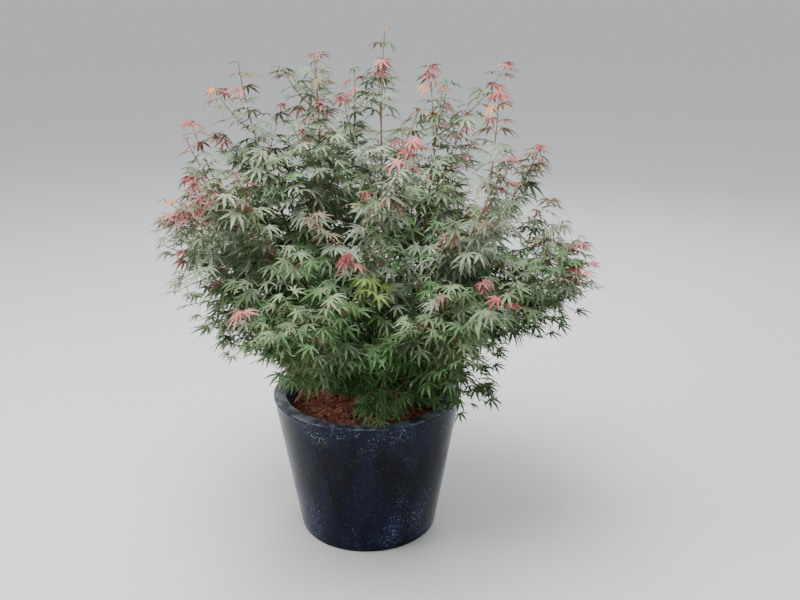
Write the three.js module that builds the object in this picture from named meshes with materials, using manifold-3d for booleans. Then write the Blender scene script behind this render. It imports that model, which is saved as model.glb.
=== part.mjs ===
// A Japanese maple grown as a many-stemmed shrub in a tall tapered pot.
// Millimetres, +Z up. The origin is the centre of the pot's flat underside, +X is to the right
// and +Y to the back, seen from the front. Azimuths turn from +X by +Y.
import * as THREE from "three";
import { mergeVertices } from "three/addons/utils/BufferGeometryUtils.js";
import Module from "manifold-3d";

const wasm = await Module();
wasm.setup();

// Driving dimensions
const gap = 0.3; // between one solid and the next

const pot = {
  height: 420,
  rimRadius: 270,
  footRadius: 200,
  rimWidth: 36,
  floor: 34,
  edge: 5, // rounding of the rim and the foot
  sides: 40,
};

const filling = {
  soilTop: 338,
  mulchEdge: 368,
  mulchTop: 376, // the mulch is a little higher round the stem
  topRadius: 80,
};

const trunk = {
  flareRadius: 46,
  radius: 29,
  height: 92,
  lean: [7, -5], // of the top, along X and Y
  flareHeight: 0.35, // share of the height
  sides: 12,
  steps: 7,
};

// Shoots. A ring's reach and height are given at the right, the back, the left and the front,
// and are worked out smoothly in between. Rise angles are above the horizontal. Leaf sizes are
// those at the foot and at the tip of the spray. A shoot leaves the trunk at a share of its height
// or a lower bough at a share of its length.
const rings = [
  {
    name: "shoulder",
    azimuths: [6, 60, 118, 176, 226, 272, 320],
    reach: [480, 420, 480, 360],
    height: [1110, 1175, 1130, 1070],
    startRise: 52,
    endRise: 66,
    from: "trunk",
    leave: 0.8,
    radii: [8.5, 4.2],
    boughShare: 0.36,
    nodes: 15,
    twigNode: 1,
    twigLength: 95,
    leafSizes: [128, 84],
  },
  {
    name: "waist",
    azimuths: [9, 54, 100, 144, 174, 208, 252, 298, 346],
    reach: [615, 520, 560, 490],
    height: [840, 860, 960, 760],
    startRise: 30,
    endRise: 28,
    from: "shoulder",
    leave: 0.55,
    radii: [6.2, 4],
    boughShare: 0.3,
    nodes: 14,
    twigNode: 1,
    twigLength: 95,
    leafSizes: [128, 90],
  },
  {
    name: "skirt",
    azimuths: [20, 74, 128, 182, 236, 280, 328],
    reach: [430, 390, 400, 265],
    height: [505, 545, 590, 500],
    startRise: 60,
    endRise: -24,
    from: "trunk",
    leave: 0.5,
    radii: [6.2, 4],
    boughShare: 0,
    nodes: 12,
    twigNode: 1,
    twigLength: 90,
    leafSizes: [124, 92],
  },
];

// Upright leaders that stand above the rest: place of the tip, and the shoot they leave
const leaders = {
  tips: [
    [57, 10, 1424],
    [-129, 20, 1350],
    [-317, -30, 1335],
    [-32, 210, 1300],
    [205, 30, 1255],
  ],
  from: ["trunk", "shoulder_5", "shoulder_4", "shoulder_3", "shoulder_7"],
  leave: 0.7,
  startRise: 80,
  endRise: 84,
  radii: [7, 3.6],
  boughShare: 0.42,
  nodes: 12,
  twigNode: -1,
  twigLength: 0,
  leafSizes: [106, 64],
};

const leaf = {
  thickness: 3.6,
  lobeTurn: 42, // between one lobe and the next
  lobes: [0.6, 0.9, 1, 0.9, 0.6],
  notch: 0.38, // where one lobe meets the next
  heel: 0.2, // where the blade meets the stalk
  droop: 0.3,
  smallest: 0.7, // share of its size that a leaf may shrink to where it is crowded
  stalk: 56,
  pitch: [0.5, 1.25],
  swing: 1.8, // how far its stalk may be swung round the stem
  leanRange: 30,
  tries: 40,
  sunk: 0.9, // of the stalk, past the middle of its twig
  clear: 4, // kept to a limb, the pot and a neighbour's space
};

const spray = {
  stemTip: 2.2,
  twigRadius: 2.4,
  firstNode: 0.05, // share of the stem below it
  shortStem: 0.34, // where a spray without a bough has its first node
  twigTurn: 56,
  twigSwing: 1,
  sides: 3,
  steps: 4,
};
const bough = { sides: 5, steps: 4, rootOut: 0.6 };
const seed = 101;
// These sprays start elsewhere, because STEP readers misread the solids that they made at first.
const starts = { shoulder_4: 6104, shoulder_5: 6105, shoulder_7: 8107, leader_2: 16125 };

// Small helpers
const degrees = Math.PI / 180;

// Numbers from 0 to 1 that are the same on each run.
function dice(start) {
  let state = start * 7919 + 13;
  return () => {
    state = (state * 48271) % 2147483647;
    return state / 2147483647;
  };
}

// A value given at the right, back, left and front, at any azimuth between them.
function around(values, azimuth) {
  const quarter = (((azimuth % 360) + 360) % 360) / 90;
  const first = Math.floor(quarter);
  const share = (1 - Math.cos(Math.PI * (quarter - first))) / 2;
  return values[first % 4] * (1 - share) + values[(first + 1) % 4] * share;
}

// A unit vector at an azimuth and a rise above the horizontal.
function heading(azimuth, rise) {
  const flat = Math.cos(rise * degrees);
  const turn = azimuth * degrees;
  return new THREE.Vector3(flat * Math.cos(turn), flat * Math.sin(turn), Math.sin(rise * degrees));
}

// A closed three.js geometry as a solid.
function solidOf(geometry) {
  geometry.deleteAttribute("normal");
  geometry.deleteAttribute("uv");
  const merged = mergeVertices(geometry, 1e-3);
  const mesh = new wasm.Mesh({
    numProp: 3,
    vertProperties: merged.getAttribute("position").array,
    triVerts: new Uint32Array(merged.index.array),
  });
  return new wasm.Manifold(mesh);
}

// A solid as a three.js geometry, with loose scraps and sealed hollows left out.
function geometryOf(solid) {
  const bodies = solid.simplify(0.05).decompose();
  const largest = bodies.reduce((a, b) => (a.volume() > b.volume() ? a : b));
  const mesh = largest.getMesh();
  const geometry = new THREE.BufferGeometry();
  geometry.setAttribute("position", new THREE.BufferAttribute(mesh.vertProperties, 3));
  geometry.setIndex(new THREE.BufferAttribute(mesh.triVerts, 1));
  return geometry;
}

// A round limb along a curve, with flat cut ends. radiusAt gives its radius at a share of the curve.
function limb(curve, radiusAt, sides, steps, from = 0, to = 1) {
  const shape = new THREE.CylinderGeometry(1, 1, 1, sides, steps);
  const place = shape.getAttribute("position");
  const chord = curve.getPoint(1).sub(curve.getPoint(0)).normalize();
  const aside = new THREE.Vector3(-chord.y, chord.x, 0.01).cross(chord).normalize();
  for (let i = 0; i < place.count; i++) {
    const t = from + (to - from) * (place.getY(i) + 0.5);
    const along = curve.getTangent(t);
    const across = aside.clone().addScaledVector(along, -aside.dot(along)).normalize();
    const over = across.clone().cross(along);
    const point = curve
      .getPoint(t)
      .addScaledVector(across, place.getX(i) * radiusAt(t))
      .addScaledVector(over, place.getZ(i) * radiusAt(t));
    place.setXYZ(i, point.x, point.y, point.z);
  }
  return shape;
}

// A solid of revolution about Z from [radius, height] points that run up the outside.
function turned(profile) {
  const points = profile.map(([radius, height]) => new THREE.Vector2(radius, height));
  return new THREE.LatheGeometry(points, pot.sides).rotateX(Math.PI / 2);
}

// Points of a quarter round from one angle to the next, in degrees.
function roundedEdge(radius, height, size, fromAngle, toAngle) {
  const steps = 2;
  return Array.from({ length: steps + 1 }, (_, i) => {
    const angle = (fromAngle + ((toAngle - fromAngle) * i) / steps) * degrees;
    return [radius + size * Math.cos(angle), height + size * Math.sin(angle)];
  });
}

// Pot, soil and mulch
const wallSlope = (pot.rimRadius - pot.footRadius) / pot.height;
const innerRadius = (height) => pot.footRadius + wallSlope * height - pot.rimWidth;

function potGeometry() {
  const { height, rimRadius, footRadius, rimWidth, floor, edge } = pot;
  return turned([
    [0, 0],
    ...roundedEdge(footRadius - edge, edge, edge, -90, 0),
    ...roundedEdge(rimRadius - edge, height - edge, edge, 0, 90),
    ...roundedEdge(rimRadius - rimWidth + edge, height - edge, edge, 90, 180),
    [innerRadius(floor), floor],
    [0, floor],
  ]);
}

function soilGeometry() {
  const bottom = pot.floor + gap;
  return turned([
    [0, bottom],
    [innerRadius(bottom) - gap, bottom],
    [innerRadius(filling.soilTop) - gap, filling.soilTop],
    [0, filling.soilTop],
  ]);
}

function mulchGeometry() {
  const bottom = filling.soilTop + gap;
  return turned([
    [0, bottom],
    [innerRadius(bottom) - gap, bottom],
    [innerRadius(filling.mulchEdge) - gap, filling.mulchEdge],
    [filling.topRadius, filling.mulchTop],
    [0, filling.mulchTop],
  ]);
}

// Trunk: a short stem with a root flare, which the shoots leave
const trunkFoot = new THREE.Vector3(0, 0, filling.mulchTop + gap);
const trunkTop = trunkFoot.clone().add(new THREE.Vector3(...trunk.lean, trunk.height));
const trunkCurve = new THREE.QuadraticBezierCurve3(
  trunkFoot,
  trunkFoot.clone().add(new THREE.Vector3(0, 0, trunk.height / 2)),
  trunkTop,
);

function trunkRadius(t) {
  const flare = Math.max(0, 1 - t / trunk.flareHeight) ** 2;
  const crown = t > 0.85 ? Math.sqrt(1 - ((t - 0.85) / 0.15) ** 2 * 0.6) : 1;
  return (trunk.radius + (trunk.flareRadius - trunk.radius) * flare) * crown;
}

const trunkGeometry = limb(trunkCurve, trunkRadius, trunk.sides, trunk.steps);

// Shoots: each is one smooth curve from the trunk or from another shoot to the tip of its spray.
// The bough is the lower stretch of the curve, and the spray's stem is the rest of it. The low
// shoots have no bough, and their stem runs down to the trunk.
const shoots = [];

function addShoot(name, plan, tip, azimuth, parent, leave) {
  const start = parent ? parent.curve.getPoint(leave * parent.meets) : trunkCurve.getPoint(leave);
  if (!parent) start.addScaledVector(heading(azimuth, 0), bough.rootOut * trunk.radius);
  const reach = tip.distanceTo(start);
  const curve = new THREE.CubicBezierCurve3(
    start,
    start.clone().addScaledVector(heading(azimuth, plan.startRise), reach * 0.36),
    tip.clone().addScaledVector(heading(azimuth, plan.endRise), -reach * 0.34),
    tip,
  );
  const hasBough = plan.boughShare > 0;
  const meets = plan.boughShare;
  const [rootRadius, endRadius] = plan.radii;
  const radiusAt = (t) =>
    t < meets
      ? rootRadius + (endRadius - rootRadius) * (t / meets)
      : endRadius + (spray.stemTip - endRadius) * ((t - meets) / (1 - meets));
  const stemFrom = hasBough ? meets + gap / curve.getLength() : 0;
  shoots.push({ name, plan, curve, parent, meets, stemFrom, radiusAt, azimuth, hasBough });
}

const shootNamed = (name) => shoots.find((shoot) => shoot.name === name);

// The shoot of a ring whose azimuth is nearest.
function nearestShoot(ring, azimuth) {
  const apart = (shoot) => Math.abs(((shoot.azimuth - azimuth + 540) % 360) - 180);
  return shoots
    .filter((shoot) => shoot.name.startsWith(ring))
    .reduce((a, b) => (apart(a) <= apart(b) ? a : b));
}

for (const ring of rings) {
  ring.azimuths.forEach((azimuth, i) => {
    const reach = around(ring.reach, azimuth);
    const tip = heading(azimuth, 0).multiplyScalar(reach).setZ(around(ring.height, azimuth));
    const parent = ring.from === "trunk" ? null : nearestShoot(ring.from, azimuth);
    const leave = ring.leave + 0.16 * (i % 2);
    addShoot(`${ring.name}_${i + 1}`, ring, tip, azimuth, parent, leave);
  });
}

leaders.tips.forEach((place, i) => {
  const tip = new THREE.Vector3(...place);
  const azimuth = Math.atan2(tip.y, tip.x) / degrees;
  const parent = leaders.from[i] === "trunk" ? null : shootNamed(leaders.from[i]);
  addShoot(`leader_${i + 1}`, leaders, tip, azimuth, parent, leaders.leave);
});

// A bough is cut clear of the trunk and of the boughs before it.
function boughSolid({ curve, radiusAt, meets }, grown) {
  return solidOf(limb(curve, (t) => radiusAt(t) + grown, bough.sides, bough.steps, 0, meets));
}

const grownTrunk = solidOf(limb(trunkCurve, (t) => trunkRadius(t) + gap, trunk.sides, trunk.steps));

function grownLimbs(which) {
  const boughs = which.filter((shoot) => shoot.hasBough).map((shoot) => boughSolid(shoot, gap));
  return wasm.Manifold.union([grownTrunk, ...boughs]);
}

function boughGeometry(shoot) {
  const before = shoots.slice(0, shoots.indexOf(shoot));
  return geometryOf(boughSolid(shoot, 0).subtract(grownLimbs(before)));
}

// Own space: the nearest stem decides whose space a point is in, and limbs and pot are kept clear
const stemSamples = 9;
const boughSamples = 24;

for (const shoot of shoots) {
  const share = (i, count, from, to) => from + ((to - from) * i) / (count - 1);
  shoot.stemPoints = Array.from({ length: stemSamples }, (_, i) =>
    shoot.curve.getPoint(share(i, stemSamples, shoot.meets, 1)),
  );
  shoot.boughPoints = Array.from({ length: shoot.hasBough ? boughSamples : 0 }, (_, i) =>
    shoot.curve.getPoint(share(i, boughSamples, 0, shoot.meets)),
  );
}

// Distance from a point to a line through the points.
function distanceTo(points, point) {
  const piece = new THREE.Line3();
  const nearest = new THREE.Vector3();
  let least = Infinity;
  for (let i = 1; i < points.length; i++) {
    piece.set(points[i - 1], points[i]).closestPointToPoint(point, true, nearest);
    least = Math.min(least, nearest.distanceTo(point));
  }
  return least;
}

function clearOfPot(point) {
  const radius = Math.hypot(point.x, point.y);
  const inside = radius < innerRadius(filling.mulchEdge) - leaf.clear;
  if (point.z > pot.height + leaf.clear) return true;
  if (inside) return point.z > filling.mulchTop + leaf.clear;
  return radius > pot.rimRadius + leaf.clear;
}

function inOwnSpace(shoot, point) {
  if (!clearOfPot(point)) return false;
  const own = distanceTo(shoot.stemPoints, point) + leaf.clear;
  if (point.distanceTo(trunkTop) < trunk.flareRadius + leaf.clear) return false;
  return shoots.every(
    (other) =>
      distanceTo(other.boughPoints, point) > other.plan.radii[0] + leaf.clear &&
      (other === shoot || distanceTo(other.stemPoints, point) > own),
  );
}

// A palmate leaf: a sphere of two rows of faces whose waist is drawn out into the lobes and the stalk
function leafOutline() {
  const { lobes, lobeTurn, notch, heel } = leaf;
  const middle = (lobes.length - 1) / 2;
  const last = (middle + 1) * lobeTurn;
  const outline = [[-last, heel]];
  lobes.forEach((reach, i) => {
    outline.push([(i - middle) * lobeTurn, reach]);
    if (i < lobes.length - 1) outline.push([(i - middle + 0.5) * lobeTurn, notch]);
  });
  outline.push([last, heel]);
  return outline;
}

const outline = leafOutline();

function leafPoint(frame, angle, reach, size) {
  const along = Math.cos(angle * degrees) * reach;
  const aside = Math.sin(angle * degrees) * reach;
  const drop = -leaf.droop * reach * reach;
  return new THREE.Vector3(along, aside, drop).multiplyScalar(size).applyMatrix4(frame);
}

function leafGeometry(frame, size, stalkEnd) {
  const rim = [stalkEnd, ...outline.map(([angle, reach]) => leafPoint(frame, angle, reach, size))];
  const shape = new THREE.SphereGeometry(1, rim.length, 2);
  const place = shape.getAttribute("position");
  for (let i = 0; i < place.count; i++) {
    const row = Math.floor(i / (rim.length + 1));
    const middle = new THREE.Vector3(0, 0, (1 - row) * leaf.thickness * 0.5).applyMatrix4(frame);
    const point = row === 1 ? rim[(i % (rim.length + 1)) % rim.length] : middle;
    place.setXYZ(i, point.x, point.y, point.z);
  }
  return shape;
}

// Where a leaf of a given size would reach: points along its lobes.
function leafReach(frame, size) {
  const shares = [0.25, 0.5, 0.75, 1];
  return outline.flatMap(([angle, reach]) =>
    shares.map((share) => leafPoint(frame, angle, reach * share, size)),
  );
}

// The frame of a leaf: its middle lobe towards a heading and pitched down, its face up.
function leafFrame(palm, direction, roll, pitch) {
  const along = direction.clone().setZ(0).normalize();
  along.setZ(-Math.tan(pitch)).normalize();
  const aside = new THREE.Vector3(0, 0, 1).cross(along).normalize();
  const face = along.clone().cross(aside);
  const frame = new THREE.Matrix4().makeBasis(along, aside, face).setPosition(palm);
  return frame.multiply(new THREE.Matrix4().makeRotationX(roll));
}

// Puts one leaf on its stalk if it keeps to the shoot's own space and clear of the spray's other
// leaves, and tells whether it did.
function addLeaf(growth, root, direction, stalk, size, roll, pitch) {
  const palm = root.clone().addScaledVector(direction, stalk);
  const frame = leafFrame(palm, direction, roll, pitch);
  const reach = [palm, ...leafReach(frame, size)];
  if (!reach.every((point) => inOwnSpace(growth.shoot, point))) return false;
  const stalkEnd = root.clone().addScaledVector(direction, -leaf.sunk);
  const solid = solidOf(leafGeometry(frame, size, stalkEnd));
  if (growth.leaves.some((other) => !other.intersect(solid).isEmpty())) return false;
  growth.leaves.push(solid);
  return true;
}

// A leaf on a stem or twig: its stalk leans out from the heading by an angle on one side. Where
// it doesn't fit it is swung round the heading, pitched anew and made smaller, or left out.
function fitLeaf(growth, root, along, side, angle, stalk, size) {
  const { roll } = growth;
  for (let i = 0; i < leaf.tries; i++) {
    const share = i / (leaf.tries - 1);
    const swing = (roll() - 0.5) * leaf.swing * (1 + share);
    const lean = (angle + (roll() - 0.5) * leaf.leanRange) * degrees;
    const direction = along
      .clone()
      .applyAxisAngle(side.clone().cross(along).normalize(), -lean)
      .applyAxisAngle(along, swing);
    const turn = (roll() - 0.5) * 0.9;
    const pitch = leaf.pitch[0] + roll() * (leaf.pitch[1] - leaf.pitch[0]);
    const shrunk = size * (1 - (1 - leaf.smallest) * share);
    if (addLeaf(growth, root, direction, stalk, shrunk, turn, pitch)) return;
  }
}

// A pair of leaves on either side of a stem or twig.
function addPair(growth, root, along, side, size) {
  for (const sign of [1, -1]) {
    fitLeaf(growth, root, along, side.clone().multiplyScalar(sign), 66, leaf.stalk, size);
  }
}

// A side twig with a pair of leaves half way and one at its end. It is swung round the stem
// until it fits, or left out.
function addTwig(growth, root, along, side, length, size) {
  const { shoot, roll } = growth;
  for (let i = 0; i < leaf.tries; i++) {
    const direction = along
      .clone()
      .applyAxisAngle(side.clone().cross(along).normalize(), -spray.twigTurn * degrees)
      .applyAxisAngle(along, (roll() - 0.5) * spray.twigSwing * (1 + i));
    const end = root.clone().addScaledVector(direction, length);
    const path = [0.35, 0.7, 1, 1.4].map((share) => root.clone().lerp(end, share));
    if (!path.every((point) => inOwnSpace(shoot, point))) continue;
    const line = new THREE.LineCurve3(root, end);
    const twig = solidOf(limb(line, (t) => spray.twigRadius * (1 - 0.25 * t), spray.sides, 1));
    if (growth.leaves.some((other) => !other.intersect(twig).isEmpty())) continue;
    growth.twigs.push(twig);
    const across = new THREE.Vector3(0, 0, 1).cross(direction).normalize();
    addPair(growth, line.getPoint(0.5), direction, across, size * 0.94);
    fitLeaf(growth, line.getPoint(0.97), direction, across, 0, leaf.stalk * 0.5, size);
    return;
  }
}

const allLimbs = grownLimbs(shoots);

// A spray: a stem with a twig at one node and pairs of leaves at the others, crosswise in turn,
// and a leaf at its tip.
function sprayGeometry(shoot, index) {
  const roll = dice(starts[shoot.name] ?? seed + index);
  const { curve, plan, stemFrom, radiusAt, hasBough } = shoot;
  const growth = { shoot, roll, leaves: [], twigs: [] };
  const sizeAt = (share) => plan.leafSizes[0] + (plan.leafSizes[1] - plan.leafSizes[0]) * share;
  const first = hasBough ? spray.firstNode : spray.shortStem;
  let turn = roll() * Math.PI;
  for (let i = 0; i < plan.nodes; i++) {
    const share = first + ((1 - first) * i) / plan.nodes;
    const t = stemFrom + (1 - stemFrom) * share;
    const root = curve.getPoint(t);
    const along = curve.getTangent(t);
    const side = new THREE.Vector3(0, 0, 1).cross(along).normalize().applyAxisAngle(along, turn);
    turn += Math.PI / 2 + (roll() - 0.5) * 0.5;
    if (i === plan.twigNode) {
      const length = plan.twigLength * (0.85 + 0.3 * roll());
      addTwig(growth, root, along, side, length, sizeAt(share));
    } else {
      addPair(growth, root, along, side, sizeAt(share));
    }
  }
  const ahead = curve.getTangent(1);
  const level = new THREE.Vector3(0, 0, 1).cross(ahead).normalize();
  fitLeaf(growth, curve.getPoint(0.99), ahead, level, 0, leaf.stalk * 0.3, sizeAt(1));
  const stem = solidOf(limb(curve, radiusAt, spray.sides, spray.steps, stemFrom, 1));
  const fused = wasm.Manifold.union([stem, ...growth.twigs, ...growth.leaves]);
  return geometryOf(fused.subtract(allLimbs));
}

// Materials
const finish = (color, roughness) =>
  new THREE.MeshStandardMaterial({ color, roughness, metalness: 0, flatShading: true });
const glaze = finish(0x14161f, 0.25);
const soilFinish = finish(0x2d211a, 0.95);
const mulchFinish = finish(0x6a3425, 0.9);
const bark = finish(0x6b6a4a, 0.75);
const foliage = finish(0x66755a, 0.6);

// Assembly
const root = new THREE.Group();

function addMesh(name, geometry, material) {
  const mesh = new THREE.Mesh(geometry, material);
  mesh.name = name;
  root.add(mesh);
}

addMesh("pot", potGeometry(), glaze);
addMesh("soil", soilGeometry(), soilFinish);
addMesh("mulch", mulchGeometry(), mulchFinish);
addMesh("trunk", trunkGeometry, bark);
for (const shoot of shoots.filter(({ hasBough }) => hasBough)) {
  addMesh(`bough_${shoot.name}`, boughGeometry(shoot), bark);
}
shoots.forEach((shoot, i) => addMesh(`foliage_${shoot.name}`, sprayGeometry(shoot, i), foliage));

export default root;
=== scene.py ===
import math

import bpy
import numpy as np
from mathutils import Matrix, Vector


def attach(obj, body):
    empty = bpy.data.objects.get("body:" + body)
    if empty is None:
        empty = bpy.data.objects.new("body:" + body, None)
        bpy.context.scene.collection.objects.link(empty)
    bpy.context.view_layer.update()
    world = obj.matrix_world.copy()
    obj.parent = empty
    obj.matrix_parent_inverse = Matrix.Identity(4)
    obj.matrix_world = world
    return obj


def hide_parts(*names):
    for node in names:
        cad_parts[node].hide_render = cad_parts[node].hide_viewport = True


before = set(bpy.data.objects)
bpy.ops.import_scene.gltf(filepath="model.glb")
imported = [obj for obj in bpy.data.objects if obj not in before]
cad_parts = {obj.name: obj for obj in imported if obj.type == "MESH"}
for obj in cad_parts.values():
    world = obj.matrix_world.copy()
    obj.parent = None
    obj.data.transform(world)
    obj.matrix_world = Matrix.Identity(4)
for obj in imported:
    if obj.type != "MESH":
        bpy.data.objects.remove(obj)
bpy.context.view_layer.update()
print("frame loaded:", len(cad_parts), "solids")

scene = bpy.context.scene
bpy.ops.object.select_all(action="DESELECT")


# shader maths: a socket that adds Math nodes when it is used in an expression
class Wire:
    def __init__(self, paint, socket):
        self.paint = paint
        self.socket = socket

    def maths(self, kind, first, second=None):
        values = {0: first} if second is None else {0: first, 1: second}
        return self.paint.add("ShaderNodeMath", {"operation": kind}, values)

    def __add__(self, other):
        return self.maths("ADD", self, other)

    def __sub__(self, other):
        return self.maths("SUBTRACT", self, other)

    def __rsub__(self, other):
        return self.maths("SUBTRACT", other, self)

    def __mul__(self, other):
        return self.maths("MULTIPLY", self, other)

    def __gt__(self, other):
        return self.maths("GREATER_THAN", self, other)

    def __lt__(self, other):
        return self.maths("LESS_THAN", self, other)

    def __abs__(self):
        return self.maths("ABSOLUTE", self)

    __radd__ = __add__
    __rmul__ = __mul__


class Paint:
    shift = (1.371, 0.713, 0.257)  # keeps the seams of the textures away from the object's middle

    def __init__(self, name):
        self.material = bpy.data.materials.new(name)
        self.material.use_nodes = True
        self.tree = self.material.node_tree
        self.shader = self.tree.nodes["Principled BSDF"]

    def add(self, kind, settings, sockets, out=0):
        node = self.tree.nodes.new(kind)
        for key, value in settings.items():
            setattr(node, key, value)
        self.plug(node, sockets)
        return Wire(self, node.outputs[out])

    def plug(self, node, sockets):
        for key, value in sockets.items():
            if isinstance(value, Wire):
                self.tree.links.new(value.socket, node.inputs[key])
            else:
                node.inputs[key].default_value = value

    def place(self, stretch=(1, 1, 1), shift=(0, 0, 0)):
        where = self.add("ShaderNodeTexCoord", {}, {}, out="Object")
        return self.add("ShaderNodeMapping", {}, {"Vector": where, "Location": shift, "Scale": stretch})

    def noise(self, scale, detail=3.0, rough=0.5, stretch=(1, 1, 1), twist=0.0):
        sockets = {"Vector": self.place(stretch, self.shift), "Scale": scale, "Detail": detail}
        sockets.update({"Roughness": rough, "Distortion": twist})
        return self.add("ShaderNodeTexNoise", {}, sockets)

    def cells(self, scale, stretch=(1, 1, 1), out="Distance"):
        sockets = {"Vector": self.place(stretch, self.shift), "Scale": scale}
        return self.add("ShaderNodeTexVoronoi", {}, sockets, out=out)

    def spread(self, value, low, high):  # from low and high to 0 and 1
        sockets = {0: value, 1: low, 2: high, 3: 0.0, 4: 1.0}
        return self.add("ShaderNodeMapRange", {"interpolation_type": "SMOOTHSTEP"}, sockets)

    def blend(self, share, first, second):  # the node's factor, its two colours and its colour result
        one = first if isinstance(first, Wire) else (*first, 1)
        sockets = {0: share, 6: one, 7: (*second, 1)}
        return self.add("ShaderNodeMix", {"data_type": "RGBA", "blend_type": "MIX"}, sockets, out=2)

    def red(self, colour):
        return self.add("ShaderNodeSeparateColor", {}, {"Color": colour}, out="Red")

    def bump(self, height, strength, distance):
        return self.add("ShaderNodeBump", {}, {"Height": height, "Strength": strength, "Distance": distance})

    def finish(self, sockets):
        self.plug(self.shader, sockets)
        return self.material


# the shrub's rule in metres and degrees: the stems are those of the solids, and the nodes and twigs on them
# have counts and lengths of their own
pot = {"height": 0.420, "rimRadius": 0.270, "footRadius": 0.200, "rimWidth": 0.036, "edge": 0.005,
       "floor": 0.034}
potSlope = (pot["rimRadius"] - pot["footRadius"]) / pot["height"]
filling = {"mulchEdge": 0.368, "mulchTop": 0.376, "gap": 0.0003}
trunk = {"flareRadius": 0.046, "radius": 0.029, "height": 0.092, "lean": (0.007, -0.005), "flareHeight": 0.35,
         "roundFrom": 0.85, "roundOver": 0.15, "roundBy": 0.6}
shootBend = {"start": 0.36, "end": 0.34, "aside": 0.6, "stagger": 0.16}
rings = [
    {"name": "shoulder", "azimuths": [6, 60, 118, 176, 226, 272, 320], "reach": [0.480, 0.420, 0.480, 0.360],
     "height": [1.110, 1.175, 1.130, 1.070], "startRise": 52, "endRise": 66, "from": "trunk", "leave": 0.8,
     "radii": [0.0085, 0.0042], "boughShare": 0.36, "nodes": 14, "twigLength": 0.145, "twigShare": 0.46},
    {"name": "waist", "azimuths": [9, 54, 100, 144, 174, 208, 252, 298, 346],
     "reach": [0.615, 0.520, 0.560, 0.490], "height": [0.840, 0.860, 0.960, 0.760], "startRise": 30,
     "endRise": 28, "from": "shoulder", "leave": 0.55, "radii": [0.0062, 0.0040], "boughShare": 0.3,
     "nodes": 16, "twigLength": 0.160, "twigShare": 0.78},
    {"name": "skirt", "azimuths": [20, 74, 128, 182, 236, 280, 328], "reach": [0.430, 0.390, 0.400, 0.265],
     "height": [0.505, 0.545, 0.590, 0.500], "startRise": 60, "endRise": -24, "from": "trunk", "leave": 0.5,
     "radii": [0.0062, 0.0040], "boughShare": 0, "nodes": 15, "twigLength": 0.140, "twigShare": 0.85},
]
leaders = {
    "tips": [(0.057, 0.010, 1.424), (-0.129, 0.020, 1.350), (-0.317, -0.030, 1.335), (-0.032, 0.210, 1.300),
             (0.205, 0.030, 1.255)],
    "from": ["trunk", "shoulder_5", "shoulder_4", "shoulder_3", "shoulder_7"], "leave": 0.7,
    "startRise": 80, "endRise": 84, "radii": [0.0070, 0.0036], "boughShare": 0.42, "nodes": 12,
    "twigLength": 0.130, "twigShare": 0.42,
}
seed = 101


def dice(start):  # numbers from 0 to 1 that are the same on each run
    factor, limit = 48271, 2147483647
    state = start * 7919 + 13
    while True:
        state = (state * factor) % limit
        yield state / limit


def jitter(roll, width):  # about 0
    return (next(roll) - 0.5) * width


def varied(roll, least, more):
    return least + more * next(roll)


def between(limits, share):
    return limits[0] + (limits[1] - limits[0]) * share


def unit(vector):
    return vector / max(np.linalg.norm(vector), 1e-9)


def around(values, azimuth):  # from values given at the right, back, left and front
    quarter = (azimuth % 360) / 90
    first = int(quarter)
    share = (1 - math.cos(math.pi * (quarter - first))) / 2
    return values[first % 4] * (1 - share) + values[(first + 1) % 4] * share


def heading(azimuth, rise):
    turn, up = math.radians(azimuth), math.radians(rise)
    return np.array([math.cos(up) * math.cos(turn), math.cos(up) * math.sin(turn), math.sin(up)])


def turned(vector, axis, angle):
    axis = unit(axis)
    return (vector * math.cos(angle) + np.cross(axis, vector) * math.sin(angle)
            + axis * np.dot(axis, vector) * (1 - math.cos(angle)))


def levelSide(along):
    return unit(np.cross([0, 0, 1], along))


def sideAt(along, turn):  # the level side, turned about the direction
    return turned(levelSide(along), along, turn)


def upward(rise):
    return np.array([0, 0, rise])


def bowed(root, end, rise):  # a short path that bows up in its middle
    return [root, (root + end) / 2 + upward(rise), end]


class Curve:  # a cubic through its four control points
    def __init__(self, points):
        self.points = [np.array(point, float) for point in points]

    def at(self, t):
        a, b, c, d = self.points
        u = 1 - t
        return u ** 3 * a + 3 * u * u * t * b + 3 * u * t * t * c + t ** 3 * d

    def along(self, t):
        a, b, c, d = self.points
        u = 1 - t
        return unit(u * u * (b - a) + 2 * u * t * (c - b) + t * t * (d - c))


trunkFoot = upward(filling["mulchTop"] + filling["gap"])
trunkTop = trunkFoot + np.array([*trunk["lean"], trunk["height"]])
trunkWaist = trunkFoot + upward(trunk["height"] / 2)


def trunkAt(t):
    return (1 - t) ** 2 * trunkFoot + 2 * t * (1 - t) * trunkWaist + t * t * trunkTop


def trunkRadius(t):
    flare = max(0, 1 - t / trunk["flareHeight"]) ** 2
    rounded = max(0, t - trunk["roundFrom"]) / trunk["roundOver"]
    top = math.sqrt(1 - rounded ** 2 * trunk["roundBy"])
    return (trunk["radius"] + (trunk["flareRadius"] - trunk["radius"]) * flare) * top


shoots = []


def addShoot(name, plan, tip, azimuth, parent, leave):
    start = parent["curve"].at(leave * parent["meets"]) if parent else trunkAt(leave)
    if not parent:
        start = start + heading(azimuth, 0) * shootBend["aside"] * trunk["radius"]
    span = np.linalg.norm(tip - start)
    curve = Curve([start, start + heading(azimuth, plan["startRise"]) * span * shootBend["start"],
                   tip - heading(azimuth, plan["endRise"]) * span * shootBend["end"], tip])
    shoots.append({"name": name, "plan": plan, "curve": curve, "meets": plan["boughShare"], "azimuth": azimuth})


def apart(shoot, azimuth):
    return abs((shoot["azimuth"] - azimuth + 540) % 360 - 180)


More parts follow.
